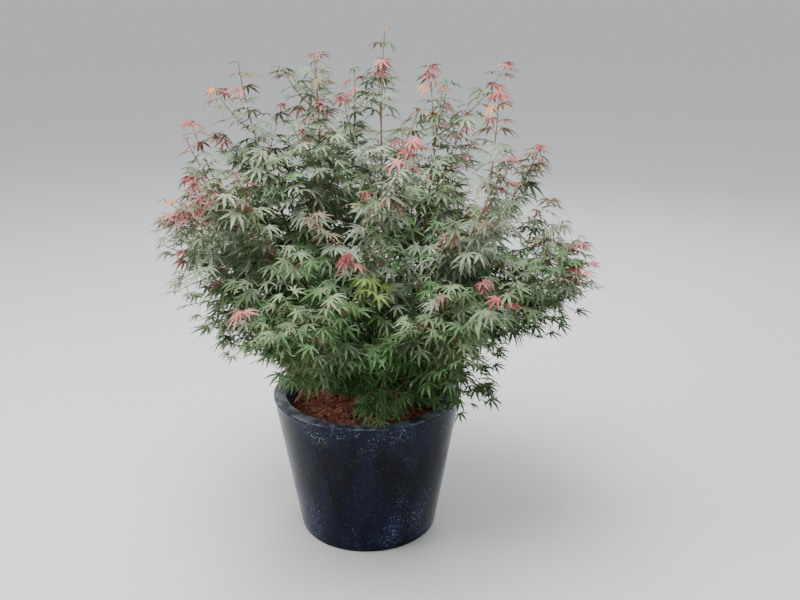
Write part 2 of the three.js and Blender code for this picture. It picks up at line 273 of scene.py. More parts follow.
for ring in rings:
    for i, azimuth in enumerate(ring["azimuths"]):
        out = heading(azimuth, 0) * around(ring["reach"], azimuth)
        tip = out + upward(around(ring["height"], azimuth))
        carriers = [shoot for shoot in shoots if shoot["name"].startswith(ring["from"])]
        parent = min(carriers, key=lambda shoot: apart(shoot, azimuth)) if carriers else None
        leave = ring["leave"] + shootBend["stagger"] * (i % 2)
        addShoot(f"{ring['name']}_{i + 1}", ring, tip, azimuth, parent, leave)

for i, place in enumerate(leaders["tips"]):
    azimuth = math.degrees(math.atan2(place[1], place[0]))
    parent = next((shoot for shoot in shoots if shoot["name"] == leaders["from"][i]), None)
    addShoot(f"leader_{i + 1}", leaders, np.array(place), azimuth, parent, leaders["leave"])

print("shoots:", len(shoots))


# stems: the twigs start at nodes along each shoot, and its leaves get smaller towards the tip
stem = {"tip": 0.0011, "firstNode": 0.03, "shortStem": 0.22, "fullness": [0.60, 1, 0.66, 1], "wander": 0.5,
        "leaf": (1.06, 0.30), "leafSizes": (0.9, 0.2), "tipFrom": 0.80, "airyFrom": 0.30, "twig": (1.05, 0.6),
        "twigLengths": (0.75, 0.45), "angle": 58, "stalk": (1.0, 0.5), "steps": 13,
        "end": {"at": 0.995, "angle": 22, "stalk": 0.35, "size": 0.5}}
leaf = {"length": 0.056, "stalk": 0.034, "stalkRadius": 0.00065, "stalkGirth": [1.25, 1.0, 0.9],
        "stalkBow": 0.0025, "pitch": (-0.22, 0.62), "youngPitch": 0.12, "steepest": 1.35, "roll": 1.0,
        "lean": 34, "swing": 1.4, "lift": 0.12, "clear": 0.006, "overMulch": 0.012, "pastCrown": 0.07,
        "tries": 4, "variants": 6, "sideTest": (0.3, 0.8)}
twig = {"turn": 56, "lean": 20, "radius": 0.0015, "usual": 0.15, "girth": (0.8, 0.5), "taper": 0.5, "tries": 9,
        "shrink": 0.05, "slack": 0.030, "tested": (0.4, 0.7, 1.0), "handle": 0.33, "lift": 0.10,
        "leafGap": 0.031, "first": 0.9, "last": 0.5, "wander": 0.6, "leaf": (1.02, 0.3),
        "leafSizes": (0.85, 0.3), "angle": 62, "stalks": (0.7, 0.5), "aloneAngle": 60, "forkFrom": 0.105,
        "forkShare": 0.6, "forkLength": 0.45, "end": {"at": 0.99, "stalk": 0.5, "size": 0.85}}
fineTwig = {"turn": 50, "bow": 0.002, "radii": [0.0010, 0.0008, 0.0006], "pairAt": 0.85, "angle": 58,
            "stalk": 0.75, "size": 0.9, "end": {"stalk": 0.4, "size": 0.85}}
inner = {"twigs": 6, "from": 0.45, "length": (0.07, 0.13), "size": 0.92, "ahead": 0.5, "rise": 0.25,
         "bow": 0.003, "radii": [0.0013, 0.0010, 0.0007], "deepShare": 0.6, "pairsAt": (0.45, 0.9),
         "angle": 58, "stalk": 0.7, "endStalk": 0.4}
whip = {"count": {"leader": 3, "shoulder": 5, "waist": 4, "skirt": 0}, "length": (0.13, 0.30), "first": 0.22,
        "last": 0.92, "aside": 0.9, "outward": [0.7, 0.2, 0.9, 0.3], "upward": 0.85, "radius": 0.0021,
        "taper": 0.6, "handle": 0.35, "corner": (0.45, 0.55), "tries": 5, "slack": 0.08, "ceiling": 1.33,
        "gap": 0.038, "nodes": (0.12, 0.82), "wander": 0.5, "tipFrom": 0.70, "leaf": (1.02, 0.24),
        "leafSizes": (0.85, 0.3), "angle": 56, "stalk": (0.9, 0.45), "tuft": [(24, 0.62), (50, 0.80)],
        "tuftGap": 0.006, "tuftStalk": 0.35}
crown = {"x": (-0.628, 0.688), "y": (-0.540, 0.594), "top": 1.434, "widest": 0.615, "level": 0.88,
         "taper": 0.40}
young = {"pink": 0.94, "red": 0.88, "orange": 0.90, "bronze": 0.96}  # share of a full leaf's size
bare = {"from": 140, "to": 268, "reach": 0.36, "level": 0.40, "slope": 0.45}  # where the mulch shows
# deepShare, deepFade and deepTo deal the deep tint, painted shade, to the lower leaves
# paleShare, paleFrom and paleOver deal the pale tint, partly painted sky sheen, to the higher leaves
mix = {"upperFrom": 0.80, "youngShare": 0.66, "tips": [("pink", 0.5), ("red", 0.5), ("orange", 0.35)],
       "outerFrom": 0.5, "bronzeFrom": 0.90, "deepShare": 0.80, "deepFade": 2.6, "deepTo": 0.54,
       "paleShare": 0.55, "paleFrom": 0.60, "paleOver": 0.35, "freshFrom": 0.965, "shadedFrom": 0.90}


def radiusAt(shoot, t):
    root, end = shoot["plan"]["radii"]
    meets = shoot["meets"]
    if t < meets:
        return root + (end - root) * t / meets
    return end + (stem["tip"] - end) * (t - meets) / (1 - meets)


# own space: a twig ends nearer to its own stem than to any other
stemLines = np.array([[shoot["curve"].at(t) for t in np.linspace(shoot["meets"], 1, 9)] for shoot in shoots])


def stemDistances(points):
    a, b = stemLines[:, :-1], stemLines[:, 1:]
    run = b - a
    offset = points[:, None, None, :] - a
    share = np.clip((offset * run).sum(-1) / (run * run).sum(-1), 0, 1)
    return np.linalg.norm(offset - run * share[..., None], axis=-1).min(-1)


def wallAt(height):
    return pot["footRadius"] + potSlope * height


def clearOfPot(points):
    radius = np.hypot(points[:, 0], points[:, 1])
    inside = radius < wallAt(filling["mulchEdge"]) - pot["rimWidth"] - leaf["clear"]
    inside &= points[:, 2] > filling["mulchTop"] + leaf["overMulch"]
    outside = radius > pot["rimRadius"] + leaf["clear"]
    above = points[:, 2] > pot["height"] + leaf["clear"]
    return bool((inside | outside | above).all())


def inOwnSpace(index, points, slack):
    if not clearOfPot(points):
        return False
    distances = stemDistances(points)
    return bool((distances[:, index] <= distances.min(1) + slack).all())


def withinCrown(point, extra):  # the crown draws in above its widest level
    x, y, z = point
    widest = crown["widest"] + extra - max(0, z - crown["level"]) * crown["taper"]
    boxed = crown["x"][0] < x < crown["x"][1] and crown["y"][0] < y < crown["y"][1] and z < crown["top"]
    return boxed and (math.hypot(x, y) < widest or z > whip["ceiling"])


def overBareMulch(tip, palm):
    for x, y, z in (tip, palm):
        azimuth = math.degrees(math.atan2(y, x)) % 360
        radius = math.hypot(x, y)
        low = z < bare["level"] + bare["slope"] * radius
        if bare["from"] < azimuth < bare["to"] and radius < bare["reach"] and low:
            return True
    return False


# growth: stems, twigs and leaves are gathered as lists and turned into joined meshes later
twigPaths, twigRadii = [], []
stalks, leaves = [], []


def addPath(points, radii):
    twigPaths.append(np.array(points))
    twigRadii.append(np.array(radii))


def addTaper(curve, count, radius, taper):
    steps = np.linspace(0, 1, count)
    addPath([curve.at(t) for t in steps], [radius * (1 - taper * t) for t in steps])


def faded(pair, share):  # from the first value, less by up to the second
    return pair[0] - pair[1] * share


def tintFor(roll, shoot, height, share, tipZone):
    upper = shoot["plan"] is not rings[2] and height > mix["upperFrom"]
    pick = next(roll)
    if tipZone and upper and pick < mix["youngShare"]:
        for tint, chance in mix["tips"]:
            if next(roll) < chance:
                return tint
        return "bronze"
    if upper and share > mix["outerFrom"] and pick > mix["bronzeFrom"]:
        return "bronze"
    # leaves low in the crown are more often deep: painted shade
    if next(roll) < mix["deepShare"] - mix["deepFade"] * max(0, height - mix["deepTo"]):
        return "deep"
    # leaves high in the crown are more often pale: partly painted sky sheen
    if pick < mix["paleShare"] * min(max((height - mix["paleFrom"]) / mix["paleOver"], 0), 1):
        return "pale"
    if pick > mix["freshFrom"]:
        return "fresh"
    return "deep" if pick > mix["shadedFrom"] else "green"


def addLeaf(roll, root, along, side, angle, stalk, size, tint):
    size *= young.get(tint, 1)
    for attempt in range(leaf["tries"]):
        lean = math.radians(angle + jitter(roll, leaf["lean"]))
        direction = turned(turned(along, np.cross(side, along), -lean), along, jitter(roll, leaf["swing"]))
        direction = unit(direction + upward(leaf["lift"]))
        palm = root + direction * stalk
        flat = unit(np.array([direction[0], direction[1], 0]) + 1e-6)
        pitch = between(leaf["pitch"], next(roll)) + (leaf["youngPitch"] if tint in young else 0)
        ahead = unit(flat - upward(math.tan(min(pitch, leaf["steepest"]))))
        across = turned(levelSide(ahead), ahead, jitter(roll, leaf["roll"]))
        tip = palm + ahead * size
        forward, out = leaf["sideTest"]
        sides = [palm + (ahead * forward + across * s) * size * out for s in (1, -1)]
        if not withinCrown(tip, leaf["pastCrown"]):
            continue
        if clearOfPot(np.array([palm, tip, *sides])) and not overBareMulch(tip, palm):
            stalks.append((root, palm))
            leaves.append((palm, ahead, across, size, tint, int(next(roll) * leaf["variants"])))
            return


def addPair(roll, root, along, side, angle, stalk, size, tint):
    for sign in (1, -1):
        addLeaf(roll, root, along, side * sign, angle, stalk, size, tint)


def addFineTwig(roll, root, along, side, length, size, tint):
    direction = turned(along, np.cross(side, along), -math.radians(fineTwig["turn"]))
    end = root + direction * length
    if not clearOfPot(np.array([end])):
        return
    addPath(bowed(root, end, fineTwig["bow"]), fineTwig["radii"])
    across = levelSide(direction)
    addPair(roll, root + direction * length * fineTwig["pairAt"], direction, across, fineTwig["angle"],
            leaf["stalk"] * fineTwig["stalk"], size * fineTwig["size"], tint)
    last = fineTwig["end"]
    addLeaf(roll, end, direction, across, 0, leaf["stalk"] * last["stalk"], size * last["size"], tint)


def addLeafyTwig(roll, index, root, along, side, length, size, share, tipZone):
    shoot = shoots[index]
    for attempt in range(twig["tries"]):
        swing = jitter(roll, 1 + attempt)
        lean = math.radians(twig["turn"] + jitter(roll, twig["lean"]))
        direction = turned(turned(along, np.cross(side, along), -lean), along, swing)
        shorter = length * (1 - twig["shrink"] * attempt)
        end = root + direction * shorter
        path = np.array([root + (end - root) * s for s in twig["tested"]])
        if inOwnSpace(index, path, twig["slack"]):
            break
    else:
        tint = tintFor(roll, shoot, root[2], share, tipZone)
        addLeaf(roll, root, along, side, twig["aloneAngle"], leaf["stalk"], size, tint)
        return
    lift = upward(shorter * twig["lift"])
    handle = direction * shorter * twig["handle"]
    curve = Curve([root, root + handle, end - handle + lift, end + lift])
    girth, more = twig["girth"]
    addTaper(curve, 5, twig["radius"] * (girth + more * shorter / twig["usual"]), twig["taper"])
    tint = tintFor(roll, shoot, root[2], share, tipZone)
    count = max(1, round(shorter / twig["leafGap"]))
    turn = next(roll) * math.pi
    for k in range(count):
        t = (k + twig["first"]) / (count + twig["last"])
        here, ahead = curve.at(t), curve.along(t)
        across = sideAt(ahead, turn)
        turn += math.pi / 2 + jitter(roll, twig["wander"])
        forked = k == 0 and shorter > twig["forkFrom"]
        for sign in (1, -1):
            grown = size * faded(twig["leaf"], t) * varied(roll, *twig["leafSizes"])
            if forked and next(roll) < twig["forkShare"]:
                addFineTwig(roll, here, ahead, across * sign, shorter * twig["forkLength"], grown, tint)
            else:
                stalk = leaf["stalk"] * varied(roll, *twig["stalks"])
                addLeaf(roll, here, ahead, across * sign, twig["angle"], stalk, grown, tint)
    last = twig["end"]
    ahead = curve.along(1)
    addLeaf(roll, curve.at(last["at"]), ahead, levelSide(ahead), 0, leaf["stalk"] * last["stalk"],
            size * last["size"], tint)


def addWhip(roll, index, share):  # a side shoot that turns up past the leaves round it
    shoot = shoots[index]
    t = shoot["meets"] + (1 - shoot["meets"]) * share
    root, along = shoot["curve"].at(t), shoot["curve"].along(t)
    outward = heading(shoot["azimuth"], 0) * around(whip["outward"], shoot["azimuth"])
    for attempt in range(whip["tries"]):
        side = sideAt(along, next(roll) * 2 * math.pi)
        start = unit(along + side * whip["aside"] + outward)
        ahead = unit(start + upward(whip["upward"]) * (0.5 + next(roll)))
        length = between(whip["length"], next(roll))
        low, high = whip["corner"]
        tip = root + start * length * low + ahead * length * high
        inside = withinCrown(tip, 0) and tip[2] < whip["ceiling"]
        if inside and inOwnSpace(index, np.array([tip]), whip["slack"]):
            break
    else:
        return
    handle = whip["handle"]
    curve = Curve([root, root + start * length * handle, tip - ahead * length * handle, tip])
    addTaper(curve, 7, whip["radius"], whip["taper"])
    count = max(2, round(length / whip["gap"]))
    turn = next(roll) * math.pi
    for k in range(count):
        s = whip["nodes"][0] + whip["nodes"][1] * (k + 0.5) / count
        here, forward = curve.at(s), curve.along(s)
        across = sideAt(forward, turn)
        turn += math.pi / 2 + jitter(roll, whip["wander"])
        tint = tintFor(roll, shoot, here[2], s, s > whip["tipFrom"])
        size = leaf["length"] * faded(whip["leaf"], s) * varied(roll, *whip["leafSizes"])
        addPair(roll, here, forward, across, whip["angle"], leaf["stalk"] * faded(whip["stalk"], s), size, tint)
    tint = tintFor(roll, shoot, tip[2], 1, True)
    for k, (angle, size) in enumerate(whip["tuft"]):
        across = sideAt(ahead, k * math.pi / 2)
        addPair(roll, tip - ahead * whip["tuftGap"] * k, ahead, across, angle,
                leaf["stalk"] * whip["tuftStalk"], leaf["length"] * size, tint)


def growInside(roll, shoot):  # shaded twigs on the bough, behind the outer leaves
    curve = shoot["curve"]
    size = leaf["length"] * inner["size"]
    for k in range(inner["twigs"]):
        t = shoot["meets"] * (inner["from"] + (1 - inner["from"]) * (k + next(roll)) / inner["twigs"])
        root, along = curve.at(t), curve.along(t)
        side = sideAt(along, next(roll) * 2 * math.pi)
        direction = unit(side + along * inner["ahead"] + upward(inner["rise"]))
        length = between(inner["length"], next(roll))
        end = root + direction * length
        if not clearOfPot(np.array([end])):
            continue
        addPath(bowed(root, end, inner["bow"]), inner["radii"])
        # these leaves are mostly deep: painted shade on the leaves inside the crown
        tint = "deep" if next(roll) < inner["deepShare"] else "green"
        across = levelSide(direction)
        for share in inner["pairsAt"]:
            addPair(roll, root + direction * length * share, direction, across, inner["angle"],
                    leaf["stalk"] * inner["stalk"], size, tint)
        addLeaf(roll, end, direction, across, 0, leaf["stalk"] * inner["endStalk"], size, tint)


def growSpray(index):
    shoot = shoots[index]
    plan, curve = shoot["plan"], shoot["curve"]
    roll = dice(seed + index)
    meets = shoot["meets"]
    steps = np.linspace(meets, 1, stem["steps"])
    addPath([curve.at(t) for t in steps], [radiusAt(shoot, t) for t in steps])
    first = stem["firstNode"] if meets > 0 else stem["shortStem"]
    turn = next(roll) * math.pi
    for i in range(plan["nodes"]):
        share = first + (1 - first) * i / plan["nodes"]
        t = meets + (1 - meets) * share
        root, along = curve.at(t), curve.along(t)
        across = sideAt(along, turn)
        turn += math.pi / 2 + jitter(roll, stem["wander"])
        size = leaf["length"] * faded(stem["leaf"], share) * varied(roll, *stem["leafSizes"])
        tipZone = share > stem["tipFrom"]
        airy = share > stem["airyFrom"] and next(roll) > around(stem["fullness"], shoot["azimuth"])
        for sign in (1, -1):
            if share < plan["twigShare"] and not airy:
                length = plan["twigLength"] * faded(stem["twig"], share) * varied(roll, *stem["twigLengths"])
                addLeafyTwig(roll, index, root, along, across * sign, length, size, share, tipZone)
            else:
                tint = tintFor(roll, shoot, root[2], share, tipZone)
                stalk = leaf["stalk"] * faded(stem["stalk"], share)
                addLeaf(roll, root, along, across * sign, stem["angle"], stalk, size, tint)
    count = whip["count"][shoot["name"].split("_")[0]]
    for k in range(count):
        addWhip(roll, index, whip["first"] + (whip["last"] - whip["first"]) * (k + next(roll)) / count)
    last = stem["end"]
    ahead = curve.along(1)
    for sign in (1, -1):
        addLeaf(roll, curve.at(last["at"]), ahead, sideAt(ahead, turn) * sign, last["angle"],
                leaf["stalk"] * last["stalk"], leaf["length"] * last["size"],
                tintFor(roll, shoot, curve.at(1)[2], 1.0, True))
    if meets > 0:
        growInside(roll, shoot)


for index in range(len(shoots)):
    growSpray(index)
print("grown:", len(twigPaths), "twigs,", len(leaves), "leaves")


# joined meshes from arrays
def meshFrom(name, points, faces, material, uvs=None, smooth=False):
    data = bpy.data.meshes.new(name)
    data.vertices.add(len(points))
    data.vertices.foreach_set("co", np.asarray(points, np.float32).ravel())
    data.loops.add(faces.size)
    data.loops.foreach_set("vertex_index", faces.astype(np.int32).ravel())
    data.polygons.add(len(faces))
    data.polygons.foreach_set("loop_start", np.arange(0, faces.size, faces.shape[1], dtype=np.int32))
    if uvs is not None:
        layer = data.uv_layers.new(name="along")
        layer.data.foreach_set("uv", np.asarray(uvs, np.float32)[faces.ravel()].ravel())
    data.update(calc_edges=True)
    data.validate()
    data.polygons.foreach_set("use_smooth", np.full(len(faces), smooth))
    data.materials.append(material)
    piece = bpy.data.objects.new(name, data)
    scene.collection.objects.link(piece)
    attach(piece, "root")
    return piece


def tubes(name, paths, radii, sides, material):  # closed round twigs, each with its own number of points
    points, faces = [], []
    ring = np.linspace(0, 2 * math.pi, sides, endpoint=False)
    base = 0
    for path, radius in zip(paths, radii):
        count = len(path)
        along = np.gradient(path, axis=0)
        along /= np.linalg.norm(along, axis=1, keepdims=True)
        upright = np.abs(along[:, 2:3]) > 0.95
        guide = np.where(upright, np.array([[1.0, 0.0, 0.0]]), np.array([[0.0, 0.0, 1.0]]))
        across = np.cross(guide, along)
        across /= np.linalg.norm(across, axis=1, keepdims=True)
        over = np.cross(along, across)
        spun = across[:, None] * np.cos(ring)[None, :, None] + over[:, None] * np.sin(ring)[None, :, None]
        points.append((path[:, None] + spun * radius[:, None, None]).reshape(-1, 3))
        points.append(path[[0, -1]])
        for k in range(count - 1):
            for j in range(sides):
                a, b = base + k * sides + j, base + k * sides + (j + 1) % sides
                faces += [(a, b, b + sides), (a, b + sides, a + sides)]
        foot, head, last = base + count * sides, base + count * sides + 1, base + (count - 1) * sides
        for j in range(sides):
            faces += [(foot, base + (j + 1) % sides, base + j), (head, last + j, last + (j + 1) % sides)]
        base += count * sides + 2
    return meshFrom(name, np.concatenate(points), np.array(faces), material, smooth=True)


lobe = {"turn": 39, "lengths": [0.36, 0.70, 0.93, 1.0, 0.93, 0.70, 0.36], "notch": 0.22, "heel": 0.06,
        "widest": 0.54, "width": 0.086, "fold": 0.4, "droop": 0.22, "droops": (0.5, 1.2), "spreads": (0.9, 0.2),
        "sizes": (0.92, 0.16), "wander": 0.22, "bend": 0.14, "notchRise": 0.02, "innerNotch": 0.7, "seed": 900}


def leafShape(variant):  # a seven-lobed leaf one long, each lobe folded along its rib
    roll = dice(lobe["seed"] + variant)
    points, uvs, faces = [(0.0, 0.0, 0.0)], [(0.0, 0.5)], []
    spread = varied(roll, *lobe["spreads"])
    droop = lobe["droop"] * varied(roll, *lobe["droops"])

    def addPoint(angle, reach, aside, rise, mark):
        ahead = np.array([math.cos(angle), math.sin(angle)])
        place = ahead * reach + np.array([-ahead[1], ahead[0]]) * aside
        points.append((place[0], place[1], rise - droop * reach ** 2))
        uvs.append(mark)
        return len(points) - 1

    count = len(lobe["lengths"])
    notches = []
    for k in range(count + 1):
        share = {0: 0.0, count: 0.0, 1: lobe["innerNotch"], count - 1: lobe["innerNotch"]}.get(k, 1.0)
        reach = lobe["heel"] + (lobe["notch"] - lobe["heel"]) * share
        angle = math.radians((k - count / 2) * lobe["turn"] * spread)
        notches.append(addPoint(angle, reach, 0, lobe["notchRise"], (reach, 0.7)))
    for k, length in enumerate(lobe["lengths"]):
        angle = math.radians((k - count // 2 + jitter(roll, lobe["wander"])) * lobe["turn"] * spread)
        length *= varied(roll, *lobe["sizes"])
        bend = jitter(roll, lobe["bend"])
        reach, aside = lobe["widest"] * length, lobe["width"] * length
        rib = addPoint(angle, reach, 0, 0, (0.5, 0.5))
        left = addPoint(angle, reach, -aside, aside * lobe["fold"], (0.5, 0.0))
        right = addPoint(angle, reach, aside, aside * lobe["fold"], (0.5, 1.0))
        tip = addPoint(angle + bend, length, 0, 0, (1.0, 0.5))
        faces += [(0, notches[k], rib), (0, rib, notches[k + 1]), (notches[k], left, rib),
                  (notches[k + 1], rib, right), (left, tip, rib), (right, rib, tip)]
    return np.array(points), np.array(uvs), np.array(faces)


leafShapes = [leafShape(variant) for variant in range(leaf["variants"])]


def joinedLeaves(name, chosen, material):
    points, uvs, faces, base = [], [], [], 0
    for palm, ahead, across, size, tint, variant in chosen:
        shape, marks, corners = leafShapes[variant]
        up = np.cross(ahead, across)
        points.append(palm + (shape @ np.array([ahead, across, up])) * size)
        uvs.append(marks)
        faces.append(corners + base)
        base += len(shape)
    return meshFrom(name, np.concatenate(points), np.concatenate(faces), material, uvs=np.concatenate(uvs))


# finishes
tints = {  # plain colours dealt out by spray
    # pale: the leaves' grey-green made lighter with painted sky sheen, dealt more to the upper leaves
    "pale": (0.270, 0.325, 0.215),
    "green": (0.160, 0.231, 0.108),
    # deep: painted shade, a darker copy of the green dealt mostly to the low and inner leaves
    "deep": (0.078, 0.168, 0.049),
    "fresh": (0.190, 0.300, 0.055),
    "bronze": (0.230, 0.170, 0.095),
    "pink": (0.480, 0.180, 0.160),
    "red": (0.400, 0.075, 0.070),
    "orange": (0.560, 0.230, 0.085),
}
leafLook = {"darker": (0.52, 0), "paler": (1.38, 0.012), "rib": (1.7, 0.03), "ribAt": 0.45, "ribShare": 0.35,
            "cloud": 15.0, "grain": 160.0, "relief": 0.0006}


def scaled(colour, factor, more):
    return tuple(min(1, channel * factor + more) for channel in colour)


def leafPaint(name, colour):
    paint = Paint(f"leaf_{name}")
    where = paint.add("ShaderNodeUVMap", {"uv_map": "along"}, {})
    aside = paint.add("ShaderNodeSeparateXYZ", {}, {"Vector": where}, out="Y")
    rib = 1 - paint.spread(abs(aside - leafLook["ribAt"]), 0.01, 0.10)
    cloud = paint.noise(leafLook["cloud"], 2.0)
    fine = paint.noise(leafLook["grain"], 3.0)
    darker, paler = scaled(colour, *leafLook["darker"]), scaled(colour, *leafLook["paler"])
    base = paint.blend(paint.spread(cloud * 0.70 + fine * 0.30, 0.40, 0.60), darker, paler)
    ribbed = paint.blend(rib * leafLook["ribShare"], base, scaled(colour, *leafLook["rib"]))
    bump = paint.bump(rib * 0.5 + fine * 0.4, 0.35, leafLook["relief"])
    return paint.finish({"Base Color": ribbed, "Roughness": fine * 0.2 + 0.42, "Normal": bump})


stalkLook = {"twigGreen": (0.230, 0.240, 0.090), "twigRed": (0.300, 0.100, 0.060),
             "stalkRed": (0.320, 0.110, 0.065), "stalkGreen": (0.240, 0.250, 0.095)}


def twigPaint():
    paint = Paint("twig_skin")
    cloud = paint.noise(14.0, 3.0)
    base = paint.blend(paint.spread(cloud, 0.38, 0.62), stalkLook["twigGreen"], stalkLook["twigRed"])
    return paint.finish({"Base Color": base, "Roughness": 0.5, "Normal": paint.bump(cloud, 0.2, 0.0006)})


def stalkPaint():
    paint = Paint("leaf_stalk")
    cloud = paint.noise(11.0, 2.0)
    base = paint.blend(paint.spread(cloud, 0.4, 0.6), stalkLook["stalkRed"], stalkLook["stalkGreen"])
    return paint.finish({"Base Color": base, "Roughness": 0.45})


barkLook = {"brown": (0.105, 0.085, 0.052), "green": (0.125, 0.130, 0.070), "streak": (0.205, 0.185, 0.140),
            "crack": (0.030, 0.022, 0.015), "relief": 0.0016}


def barkPaint():
    paint = Paint("maple_bark")
    grain = paint.noise(55.0, 5.0, 0.6, stretch=(1, 1, 0.22))
    patch = paint.noise(17.0, 3.0)
    lines = paint.cells(70.0, stretch=(1, 1, 0.3))
    skin = paint.blend(paint.spread(patch, 0.40, 0.62), barkLook["brown"], barkLook["green"])
    streaked = paint.blend(paint.spread(grain, 0.50, 0.70), skin, barkLook["streak"])
    cracked = paint.blend(1 - paint.spread(lines, 0.02, 0.16), streaked, barkLook["crack"])
    bump = paint.bump(grain * 0.7 + lines * 0.5, 0.5, barkLook["relief"])
    return paint.finish({"Base Color": cracked, "Roughness": grain * 0.2 + 0.62, "Normal": bump})


glaze = {"night": (0.0015, 0.0018, 0.0060), "navy": (0.0046, 0.0060, 0.0215), "blue": (0.0085, 0.0115, 0.0360),
         "green": (0.0060, 0.0150, 0.0130), "dots": (0.150, 0.200, 0.380), "flecks": (0.480, 0.560, 0.740),
         # inside: painted light, a lighter grey-blue on the inner wall, which lies in shade
         # rim: painted sky reflection on the lip
         "inside": (0.220, 0.235, 0.290), "rim": (0.245, 0.265, 0.345), "fleckScale": 240.0, "dotScale": 400.0,
         "fleckShare": 0.86, "dotShare": 0.55, "specular": 0.13, "coatRoughness": 0.12, "relief": 0.004,
         "lip": (0.0030, 0.0008), "insideFrom": 0.006, "insideOver": 0.004}


def glazePaint():
    paint = Paint("speckled_glaze")
    height = paint.add("ShaderNodeSeparateXYZ", {}, {"Vector": paint.place()}, out="Z")
    runs = paint.noise(17.0, 4.0, 0.6, stretch=(1, 1, 0.14), twist=0.3)
    wide = paint.noise(6.0, 3.0, stretch=(1, 1, 0.6))
    cloud = paint.noise(12.0, 4.0, 0.6)
    reflectionPatches = paint.noise(30.0, 3.0, 0.6)
    fleck, fleckPick = (paint.cells(glaze["fleckScale"], out=out) for out in ("Distance", "Color"))
    small, smallPick = (paint.cells(glaze["dotScale"], out=out) for out in ("Distance", "Color"))
    navy = paint.blend(paint.spread(runs, 0.40, 0.62), glaze["night"], glaze["navy"])
    blue = paint.blend(paint.spread(wide, 0.50, 0.66) * 0.6, navy, glaze["blue"])
    green = paint.blend(paint.spread(cloud, 0.58, 0.70) * 0.5, blue, glaze["green"])
    crowd = paint.spread(wide * 0.55 + cloud * 0.45, 0.490, 0.600)
    large = (1 - paint.spread(fleck, 0.20, 0.32)) * (paint.red(fleckPick) > glaze["fleckShare"])
    dots = (1 - paint.spread(small, 0.20, 0.36)) * (paint.red(smallPick) > glaze["dotShare"])
    dusted = paint.blend(dots * crowd, green, glaze["dots"])
    spotted = paint.blend(large * (crowd * 0.80 + 0.12), dusted, glaze["flecks"])
    low, high = glaze["lip"]
    lip = paint.spread(height, pot["height"] - low, pot["height"] - high)
    aside = paint.add("ShaderNodeVectorMath", {"operation": "LENGTH"}, {0: paint.place((1, 1, 0))}, out="Value")
    edge = pot["footRadius"] - pot["rimWidth"] + glaze["insideFrom"]
    wall = 1 - paint.spread(aside - height * potSlope, edge, edge + glaze["insideOver"])
    # the inner wall's lighter grey-blue is painted light on a wall in shade
    inside = paint.blend(wall * (1 - lip) * 0.8, spotted, glaze["inside"])
    # the rim colour, in patches over the lip, is painted sky reflection
    rimSkyReflection = paint.blend(lip * (paint.spread(reflectionPatches, 0.42, 0.58) * 0.70 + 0.22), inside, glaze["rim"])
    rough = paint.spread(cloud, 0.35, 0.7) * 0.14 + lip * 0.10 + 0.17
    relief = paint.bump(runs * 0.5 + cloud * 0.5, 0.25, glaze["relief"])
    paint.shader.inputs["Specular IOR Level"].default_value = glaze["specular"]
    paint.shader.inputs["Coat Roughness"].default_value = glaze["coatRoughness"]
    return paint.finish({"Base Color": rimSkyReflection, "Roughness": rough, "Normal": relief, "Coat Weight": lip * 0.9})


def chipPaint(name, dark, pale):
    paint = Paint(name)
    grain = paint.noise(120.0, 4.0, 0.6, stretch=(1, 0.35, 1))
    patch = paint.noise(36.0, 2.0)
    base = paint.blend(paint.spread(patch * 0.6 + grain * 0.4, 0.38, 0.62), dark, pale)
    return paint.finish({"Base Color": base, "Roughness": 0.85, "Normal": paint.bump(grain, 0.5, 0.001)})


def soilPaint():
    paint = Paint("potting_compost")
    crumb = paint.noise(90.0, 5.0, 0.7)
    base = paint.blend(paint.spread(crumb, 0.35, 0.65), (0.016, 0.010, 0.006), (0.060, 0.038, 0.024))
    return paint.finish({"Base Color": base, "Roughness": 0.95, "Normal": paint.bump(crumb, 0.8, 0.003)})


# foliage pieces
stems = tubes("stems", twigPaths, twigRadii, 5, twigPaint())
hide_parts(*[f"foliage_{shoot['name']}" for shoot in shoots])

stalkPaths = [np.array(bowed(root, palm, leaf["stalkBow"])) for root, palm in stalks]
stalkRadii = [np.array(leaf["stalkGirth"]) * leaf["stalkRadius"]] * len(stalks)
leafStalks = tubes("leaf_stalks", stalkPaths, stalkRadii, 3, stalkPaint())

for tint, colour in tints.items():
    chosen = [one for one in leaves if one[4] == tint]
    if chosen:
        piece = joinedLeaves(f"leaves_{tint}", chosen, leafPaint(tint, colour))
        print("leaves", tint, len(chosen))


# trunk and boughs with the bark's relief
bark = barkPaint()
limbs = {"trunkSteps": 26, "trunkSides": 10, "trunkRelief": (0.016, 0.0045), "boughSteps": 22, "boughSides": 4,
         "boughRelief": (0.010, 0.0016), "overlap": 0.004, "weld": 0.00002}


def limbMesh(name, points, radii, sides):
    data = bpy.data.curves.new(name, "CURVE")
    data.dimensions = "3D"
    data.bevel_mode = "ROUND"
    data.bevel_depth = 1.0
    data.bevel_resolution = sides
    data.use_fill_caps = True
    line = data.splines.new("POLY")
    line.points.add(len(points) - 1)
    for place, point, radius in zip(line.points, points, radii):
        place.co = (*point, 1)
        place.radius = radius
    limb = bpy.data.objects.new(name, data)
    scene.collection.objects.link(limb)
    bpy.ops.object.select_all(action="DESELECT")
    limb.select_set(True)
    bpy.context.view_layer.objects.active = limb
    bpy.ops.object.convert(target="MESH")
    bpy.ops.object.mode_set(mode="EDIT")
    bpy.ops.mesh.select_all(action="SELECT")
    bpy.ops.mesh.remove_doubles(threshold=limbs["weld"])
    bpy.ops.mesh.normals_make_consistent(inside=False)
    bpy.ops.object.mode_set(mode="OBJECT")
    return bpy.context.active_object


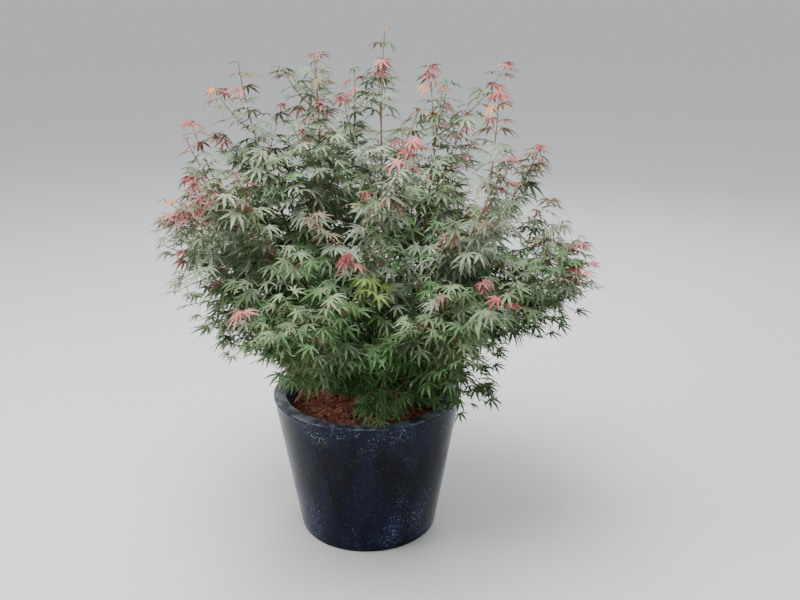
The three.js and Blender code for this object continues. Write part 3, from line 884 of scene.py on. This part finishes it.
def displace(piece, size, strength, direction="NORMAL"):
    texture = bpy.data.textures.new(piece.name + "_relief", "CLOUDS")
    texture.noise_scale = size
    relief = piece.modifiers.new("relief", "DISPLACE")
    relief.texture = texture
    relief.texture_coords = "LOCAL"
    relief.direction = direction
    relief.strength = strength
    bpy.context.view_layer.objects.active = piece
    bpy.ops.object.modifier_apply(modifier="relief")


def dress(piece, material):
    piece.data.materials.clear()
    piece.data.materials.append(material)


steps = np.linspace(0, 1, limbs["trunkSteps"])
trunkPiece = limbMesh("trunk_bark", [trunkAt(t) for t in steps], [trunkRadius(t) for t in steps],
                      limbs["trunkSides"])
displace(trunkPiece, *limbs["trunkRelief"])
bpy.ops.object.shade_smooth()
dress(trunkPiece, bark)
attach(trunkPiece, "root")
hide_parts("trunk")

boughPieces = []
for shoot in shoots:
    if shoot["meets"] == 0:
        continue
    steps = np.linspace(0, shoot["meets"] + limbs["overlap"], limbs["boughSteps"])
    boughPieces.append(limbMesh(f"bark_{shoot['name']}", [shoot["curve"].at(t) for t in steps],
                                [radiusAt(shoot, t) for t in steps], limbs["boughSides"]))
bpy.ops.object.select_all(action="DESELECT")
for piece in boughPieces:
    piece.select_set(True)
bpy.context.view_layer.objects.active = boughPieces[0]
bpy.ops.object.join()
boughs = bpy.context.active_object
boughs.name = "boughs_bark"
displace(boughs, *limbs["boughRelief"])
bpy.ops.object.shade_smooth()
dress(boughs, bark)
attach(boughs, "root")
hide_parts(*[f"bough_{shoot['name']}" for shoot in shoots if shoot["meets"] > 0])
print("limbs done")


# pot, raised ring by ring from its foot
potShape = {"sides": 128, "footRings": 5, "wallRings": 30, "lipRings": 7, "insideRings": 12, "wobbleSize": 0.28,
            "wobble": 0.003, "smoothTo": 50}


def potProfile():
    edge, height = pot["edge"], pot["height"]
    wallTop, insideTop = height - edge - 0.004, height - 0.02
    steps = [(pot["footRadius"] - edge + edge * math.sin(a), edge - edge * math.cos(a))
             for a in np.linspace(0.3, math.pi / 2, potShape["footRings"])]
    steps += [(wallAt(z), z) for z in np.linspace(0.02, wallTop, potShape["wallRings"])]
    steps += [(pot["rimRadius"] - edge + edge * math.cos(a), height - edge + edge * math.sin(a))
              for a in np.linspace(0.05, math.pi / 2, potShape["lipRings"])]
    mouth = pot["rimRadius"] - pot["rimWidth"]
    steps += [(mouth + edge - edge * math.sin(a), height - edge + edge * math.cos(a))
              for a in np.linspace(0.0, math.pi / 2, potShape["lipRings"])]
    steps += [(wallAt(z) - pot["rimWidth"], z)
              for z in np.linspace(insideTop, pot["floor"], potShape["insideRings"])]
    return steps


lastRadius, lastHeight = pot["footRadius"] - pot["edge"], 0.0
bpy.ops.object.select_all(action="DESELECT")
bpy.ops.mesh.primitive_circle_add(vertices=potShape["sides"], radius=lastRadius, fill_type="NGON",
                                  location=(0, 0, 0))
potPiece = bpy.context.active_object
potPiece.name = "glazed_pot"
bpy.ops.object.mode_set(mode="EDIT")
bpy.ops.mesh.select_mode(type="EDGE")
bpy.ops.mesh.select_all(action="SELECT")
for radius, height in potProfile():
    bpy.ops.mesh.extrude_edges_move(TRANSFORM_OT_translate={"value": (0, 0, height - lastHeight)})
    bpy.ops.transform.resize(value=(radius / lastRadius, radius / lastRadius, 1))
    lastRadius, lastHeight = radius, height
bpy.ops.mesh.edge_face_add()
bpy.ops.mesh.select_all(action="SELECT")
bpy.ops.mesh.normals_make_consistent(inside=False)
bpy.ops.object.mode_set(mode="OBJECT")
displace(potPiece, potShape["wobbleSize"], potShape["wobble"])
for vertex in potPiece.data.vertices:
    vertex.co.z = max(vertex.co.z, 0)
bpy.ops.object.shade_smooth_by_angle(angle=math.radians(potShape["smoothTo"]))
dress(potPiece, glazePaint())
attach(potPiece, "root")
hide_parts("pot")
print("pot done")


# mulch: a lumpy bed with bark chips lying on it
# the bed is the mulch under the chips, coloured darker than them: painted shade for the gaps between chips
mulch = {"sides": 96, "edge": 0.001, "below": 0.004,
         "rings": (0.90, 0.88, 0.86, 0.84, 0.82, 0.78, 0.72, 0.6, 0.4), "rise": 0.0008, "lumpSize": 0.018,
         "lumps": 0.008, "dark": (0.060, 0.025, 0.016), "pale": (0.170, 0.068, 0.043)}
chips = {"count": 5200, "length": (0.007, 0.026), "width": (0.003, 0.008), "thick": (0.0012, 0.0035),
         "torn": 0.45, "ragged": (0.6, 0.4), "edge": 0.012, "lift": 0.003, "heap": 0.006, "stack": 0.010,
         "tilt": 0.7, "tip": 0.6}
chipKinds = [  # name, start of the dice, twentieths of the count, dark and pale colour
    ("red", 31, 12, (0.330, 0.100, 0.060), (0.610, 0.250, 0.155)),
    ("brown", 32, 6, (0.165, 0.060, 0.038), (0.365, 0.150, 0.092)),
    ("pale", 33, 2, (0.300, 0.160, 0.095), (0.470, 0.280, 0.180)),
]
bedRadius = wallAt(filling["mulchEdge"]) - pot["rimWidth"] - mulch["edge"]

bpy.ops.object.select_all(action="DESELECT")
bpy.ops.mesh.primitive_circle_add(vertices=mulch["sides"], radius=bedRadius, fill_type="NGON",
                                  location=(0, 0, filling["mulchEdge"] - mulch["below"]))
bed = bpy.context.active_object
bed.name = "mulch_bed"
bpy.ops.object.mode_set(mode="EDIT")
bpy.ops.mesh.select_mode(type="FACE")
bpy.ops.mesh.select_all(action="SELECT")
for share in mulch["rings"]:
    bpy.ops.mesh.inset(thickness=0.0)
    bpy.ops.transform.resize(value=(share, share, 1))
    bpy.ops.transform.translate(value=(0, 0, mulch["rise"]))
bpy.ops.mesh.select_all(action="SELECT")
bpy.ops.mesh.subdivide(number_cuts=1)
bpy.ops.object.mode_set(mode="OBJECT")
displace(bed, mulch["lumpSize"], mulch["lumps"], "Z")
bpy.ops.object.transform_apply(location=True, rotation=True, scale=True)
dress(bed, chipPaint("mulch_bed_shaded", mulch["dark"], mulch["pale"]))
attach(bed, "root")
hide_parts("mulch")


def chipShape(roll):  # a torn flake: a box with its ends cut aslant
    length = between(chips["length"], next(roll) ** 1.8)
    width = between(chips["width"], next(roll))
    thick = between(chips["thick"], next(roll) ** 2)
    corners = []
    for x in (-1, 1):
        for y in (-1, 1):
            for z in (-1, 1):
                tear = 1 - chips["torn"] * next(roll)
                ragged = varied(roll, *chips["ragged"])
                corners.append((x * length / 2 * tear, y * width / 2 * ragged, z * thick / 2))
    return np.array(corners)


chipFaces = np.array([(0, 1, 3), (0, 3, 2), (4, 6, 7), (4, 7, 5), (0, 4, 5), (0, 5, 1), (2, 3, 7), (2, 7, 6),
                      (0, 2, 6), (0, 6, 4), (1, 5, 7), (1, 7, 3)])


def scatterChips(name, start, count, material):
    roll = dice(start)
    points, faces = [], []
    for k in range(count):
        radius = (bedRadius - chips["edge"]) * math.sqrt(next(roll))
        angle = next(roll) * 2 * math.pi
        yaw, tilt, tip = next(roll) * 2 * math.pi, jitter(roll, chips["tilt"]), jitter(roll, chips["tip"])
        heap = chips["heap"] * (1 - radius / bedRadius)
        level = filling["mulchEdge"] + chips["lift"] + heap + chips["stack"] * next(roll) ** 2
        shape = chipShape(roll)
        cy, sy, ct, st, cp, sp = (f(v) for v in (yaw, tilt, tip) for f in (math.cos, math.sin))
        about = np.array([[cy, -sy, 0], [sy, cy, 0], [0, 0, 1]])
        pitched = np.array([[ct, 0, st], [0, 1, 0], [-st, 0, ct]])
        rolled = np.array([[1, 0, 0], [0, cp, -sp], [0, sp, cp]])
        centre = np.array([radius * math.cos(angle), radius * math.sin(angle), level])
        points.append(shape @ (about @ pitched @ rolled).T + centre)
        faces.append(chipFaces + 8 * k)
    piece = meshFrom(name, np.concatenate(points), np.concatenate(faces), material)


for kind, start, share, dark, pale in chipKinds:
    count = chips["count"] * share // 20
    scatterChips(f"bark_chips_{kind}", start, count, chipPaint(f"chip_{kind}", dark, pale))

dress(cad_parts["soil"], soilPaint())
print("mulch done")


# studio
studio = {"floor": (0.84, 0.84, 0.82), "floorSize": 400, "sky": (0.90, 0.93, 0.97), "skyStrength": 0.70}
lights = [  # name, place, target, size, power, colour
    ("top_light", (-0.7, -0.6, 4.4), (0, 0, 0.9), 2.6, 215, (0.97, 0.98, 1.0)),
    ("left_light", (-3.2, -1.2, 2.6), (0, 0, 0.8), 2.2, 60, (1.0, 0.98, 0.95)),
    ("back_light", (1.2, 3.2, 3.2), (0, 0, 1.0), 2.2, 60, (1.0, 1.0, 1.0)),
]
view = {"place": (0.095, -2.446, 1.520), "pitch": 71.25, "lens": 41.4, "sensor": 36}

bpy.ops.object.select_all(action="DESELECT")
bpy.ops.mesh.primitive_plane_add(size=studio["floorSize"], location=(0, 0, 0))
floor = bpy.context.active_object
floor.name = "studio_floor"
floorPaint = Paint("studio_floor")
floor.data.materials.append(floorPaint.finish({"Base Color": (*studio["floor"], 1), "Roughness": 0.8}))

world = bpy.data.worlds.new("soft_sky")
scene.world = world
world.use_nodes = True
background = world.node_tree.nodes["Background"]
background.inputs["Color"].default_value = (*studio["sky"], 1)
background.inputs["Strength"].default_value = studio["skyStrength"]

for name, place, target, size, power, colour in lights:
    data = bpy.data.lights.new(name, "AREA")
    data.size = size
    data.energy = power
    data.color = colour
    light = bpy.data.objects.new(name, data)
    light.location = place
    light.rotation_euler = (Vector(target) - Vector(place)).to_track_quat("-Z", "Y").to_euler()
    scene.collection.objects.link(light)

camera = bpy.data.objects.new("camera", bpy.data.cameras.new("camera"))
camera.data.sensor_width = view["sensor"]
camera.data.lens = view["lens"]
camera.location = view["place"]
camera.rotation_euler = (math.radians(view["pitch"]), 0, 0)
scene.collection.objects.link(camera)
scene.camera = camera
print("studio done")
